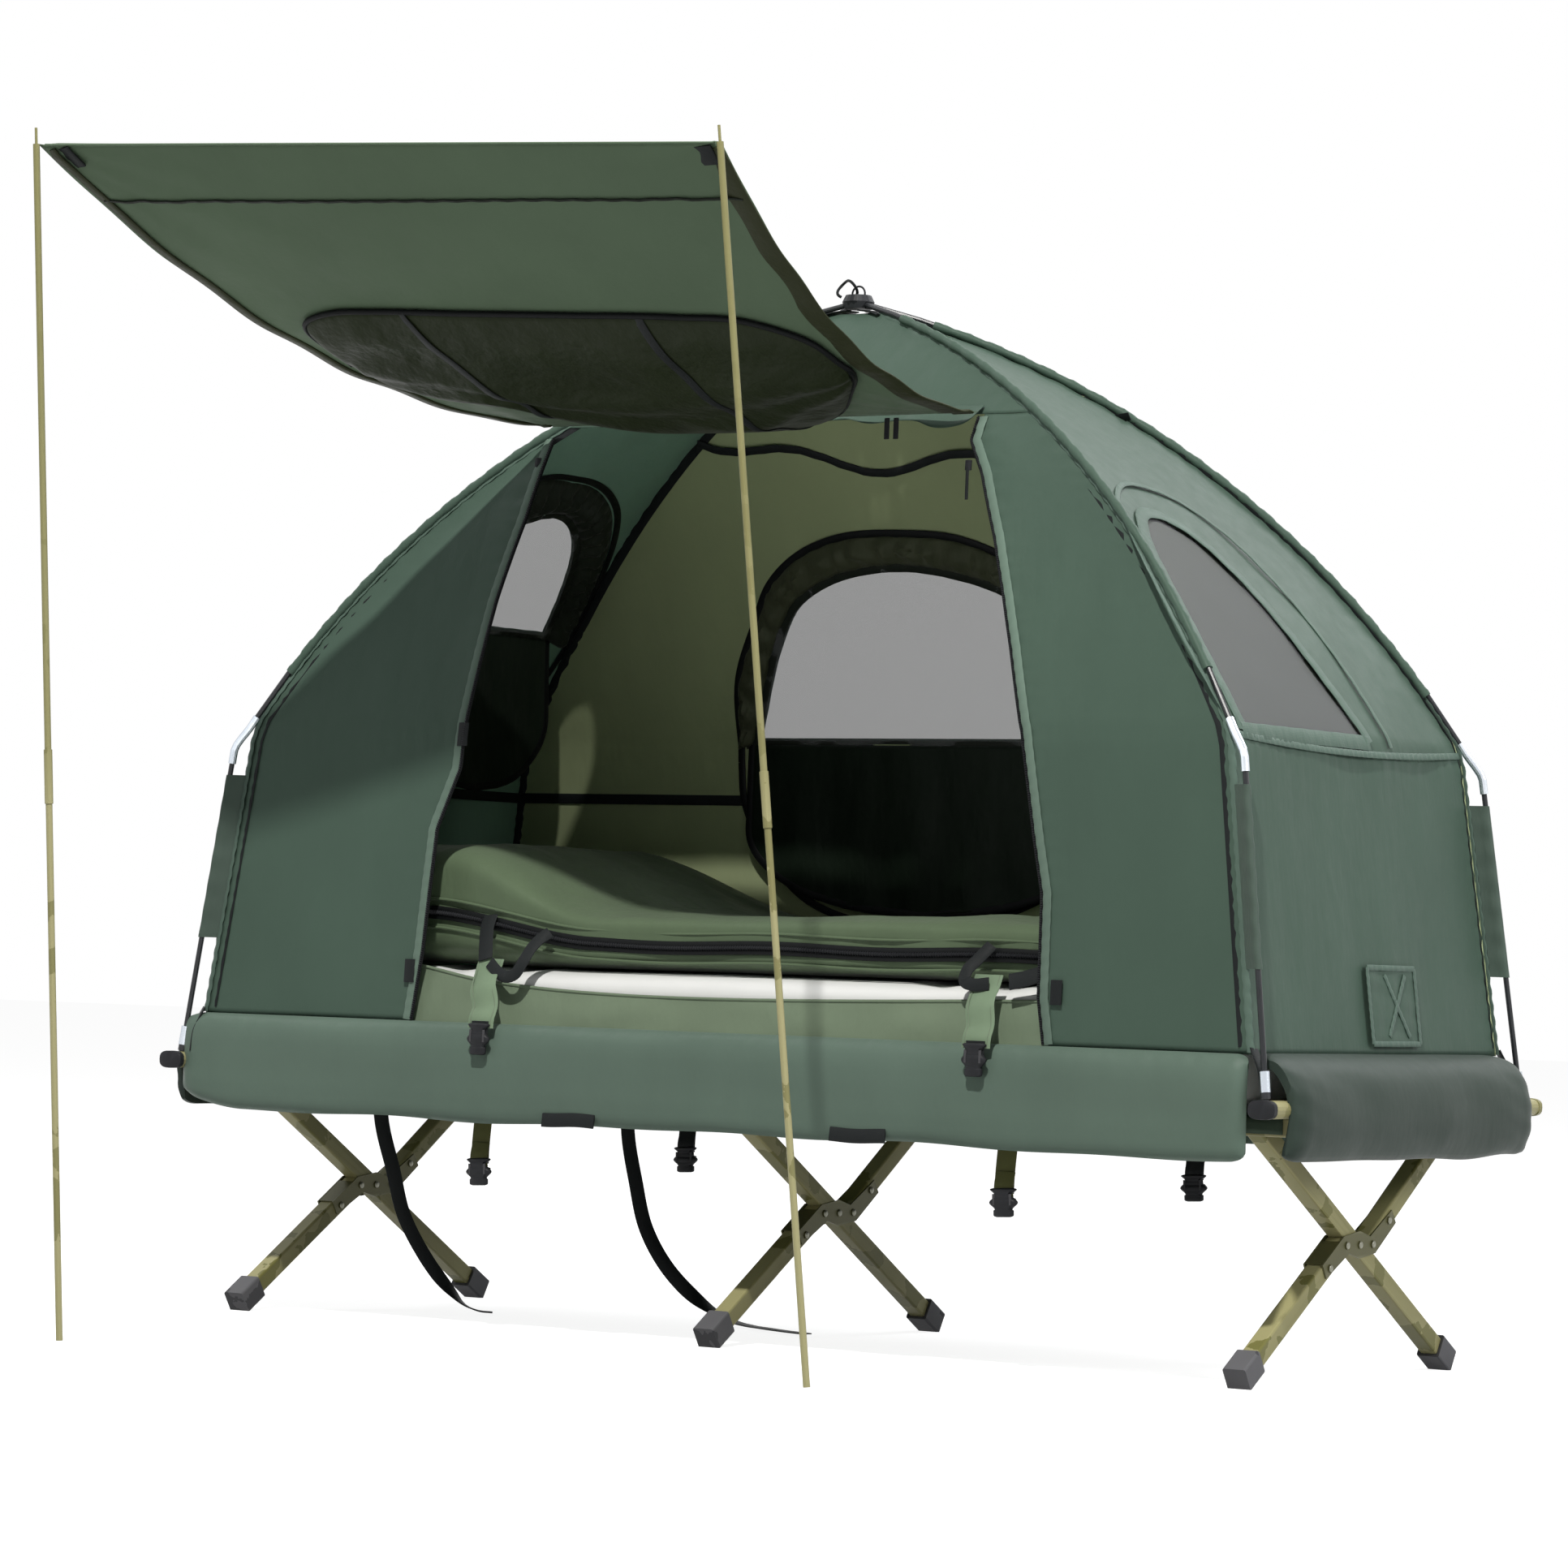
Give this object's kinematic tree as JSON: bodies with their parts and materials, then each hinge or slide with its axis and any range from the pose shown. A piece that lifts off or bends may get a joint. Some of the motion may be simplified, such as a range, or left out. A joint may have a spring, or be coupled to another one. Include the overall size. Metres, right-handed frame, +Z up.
{
  "type": "tent cot",
  "caption": "folding camp bed on crossed legs carrying a dome tent with windows, bedding and a door panel propped out as an awning",
  "frame": {"origin": "middle of the floor rectangle under the whole object, on the floor", "axes": "+X along the bed to its right end seen from the door, -Y out of the door, +Z up"},
  "size_m": [1.929, 1.4548, 1.6723],
  "materials": {
    "khaki_steel": "khaki powder coat, slightly worn",
    "dark_plastic": "dark grey moulded",
    "black_plastic": "black moulded",
    "black_fibreglass": "black glass fibre rod",
    "bright_alloy": "bright drawn tube",
    "tent_fabric": "grey green coated polyester",
    "wrap_fabric": "grey green padded cloth",
    "flap_fabric": "dark green cloth",
    "bag_fabric": "olive quilted polyester",
    "mattress_film": "pale flocked film",
    "webbing": "black woven webbing",
    "sling_fabric": "heavy woven cloth"
  },
  "bodies": {
    "cot_frame": {"leg_a_left": "khaki_steel", "leg_a_middle": "khaki_steel", "leg_a_right": "khaki_steel", "foot_cap_far_left": "dark_plastic", "foot_cap_far_middle": "dark_plastic", "foot_cap_far_right": "dark_plastic", "rail_near": "khaki_steel", "bed_sling": "sling_fabric", "strap_left": "webbing", "strap_right": "webbing"},
    "brackets": {"scissor_bracket_left": "khaki_steel", "scissor_bracket_middle": "khaki_steel", "scissor_bracket_right": "khaki_steel"},
    "legs_b_lower": {"leg_b_lower_left": "khaki_steel", "leg_b_lower_middle": "khaki_steel", "leg_b_lower_right": "khaki_steel", "foot_cap_near_left": "dark_plastic", "foot_cap_near_middle": "dark_plastic", "foot_cap_near_right": "dark_plastic"},
    "legs_b_upper": {"leg_b_upper_left": "khaki_steel", "leg_b_upper_middle": "khaki_steel", "leg_b_upper_right": "khaki_steel", "rail_far": "khaki_steel"},
    "tent": {"spreader_left": "khaki_steel", "spreader_right": "khaki_steel", "hub": "black_plastic", "pole_upper_front_left": "black_fibreglass", "pole_upper_front_right": "black_fibreglass", "pole_upper_rear_left": "black_fibreglass", "pole_upper_rear_right": "black_fibreglass", "pole_elbow_front_left": "bright_alloy", "pole_elbow_front_right": "bright_alloy", "pole_elbow_rear_left": "bright_alloy", "pole_elbow_rear_right": "bright_alloy", "pole_lower_front_left": "black_fibreglass", "pole_lower_front_right": "black_fibreglass", "pole_lower_rear_left": "black_fibreglass", "pole_lower_rear_right": "black_fibreglass", "canopy_front_left": "tent_fabric", "canopy_front_right": "tent_fabric", "canopy_roof_front": "tent_fabric", "canopy_left_end": "tent_fabric", "canopy_right_end": "tent_fabric", "canopy_rear": "tent_fabric", "skirt_near": "tent_fabric", "skirt_far": "tent_fabric", "end_wrap_left": "wrap_fabric", "end_wrap_right": "wrap_fabric", "air_mattress": "mattress_film", "sleeping_bag": "bag_fabric"},
    "awning": {"awning": "tent_fabric", "door_roll": "tent_fabric"},
    "awning_pole_left": {"awning_pole_upper_left": "khaki_steel", "awning_pole_lower_left": "khaki_steel"},
    "awning_pole_right": {"awning_pole_upper_right": "khaki_steel", "awning_pole_lower_right": "khaki_steel"},
    "flap_left": {"window_flap_left": "flap_fabric"},
    "flap_right": {"window_flap_right": "flap_fabric"},
    "flap_rear": {"window_flap_rear": "flap_fabric"}
  },
  "joints": [
    {"name": "tent_lift", "type": "slide", "parent": "cot_frame", "child": "tent", "axis": [0, 0, 1], "range_m": [0, 0.6]},
    {"name": "bracket_fold", "type": "hinge", "parent": "cot_frame", "child": "brackets", "pos_m": [0, 0.32738, 0.185], "axis": [1, 0, 0], "range_deg": [0, 59.4]},
    {"name": "leg_b_lower_fold", "type": "hinge", "parent": "brackets", "child": "legs_b_lower", "pos_m": [0, 0.28937, 0.185], "axis": [1, 0, 0], "range_deg": [0, 57.91]},
    {"name": "leg_b_upper_fold", "type": "hinge", "parent": "brackets", "child": "legs_b_upper", "pos_m": [0, 0.36538, 0.185], "axis": [1, 0, 0], "range_deg": [0, 55.6], "deforming": ["bed_sling"]},
    {"name": "awning_drop", "type": "hinge", "parent": "tent", "child": "awning", "pos_m": [-0.042, 0.14259, 1.3373], "axis": [1, 0, 0], "range_deg": [0, 68]},
    {"name": "awning_pole_left_tip", "type": "hinge", "parent": "cot_frame", "child": "awning_pole_left", "pos_m": [-0.592, -0.69063, 0.0001], "axis": [1, 0, 0], "range_deg": [0, 86]},
    {"name": "awning_pole_right_tip", "type": "hinge", "parent": "cot_frame", "child": "awning_pole_right", "pos_m": [0.492, -0.47263, 0.0006], "axis": [1, 0, 0], "range_deg": [0, 86]},
    {"name": "flap_left_swing", "type": "hinge", "parent": "tent", "child": "flap_left", "pos_m": [-0.71124, 0.32738, 1.04852], "axis": [0, -1, 0], "range_deg": [0, 125]},
    {"name": "flap_right_swing", "type": "hinge", "parent": "tent", "child": "flap_right", "pos_m": [0.8266, 0.32738, 0.88036], "axis": [0, 1, 0], "range_deg": [0, 135]},
    {"name": "flap_rear_swing", "type": "hinge", "parent": "tent", "child": "flap_rear", "pos_m": [0, 0.66237, 0.88682], "axis": [-1, 0, 0], "range_deg": [0, 150]}
  ],
  "couplings": [
    {"joint": "bracket_fold", "follows": "tent_lift", "rad_per_m": 1.7277},
    {"joint": "leg_b_lower_fold", "follows": "tent_lift", "rad_per_m": 1.6843},
    {"joint": "leg_b_upper_fold", "follows": "tent_lift", "rad_per_m": 1.6173},
    {"joint": "awning_pole_left_tip", "follows": "awning_drop", "ratio": 1.2646},
    {"joint": "awning_pole_right_tip", "follows": "awning_drop", "ratio": 1.2646}
  ]
}
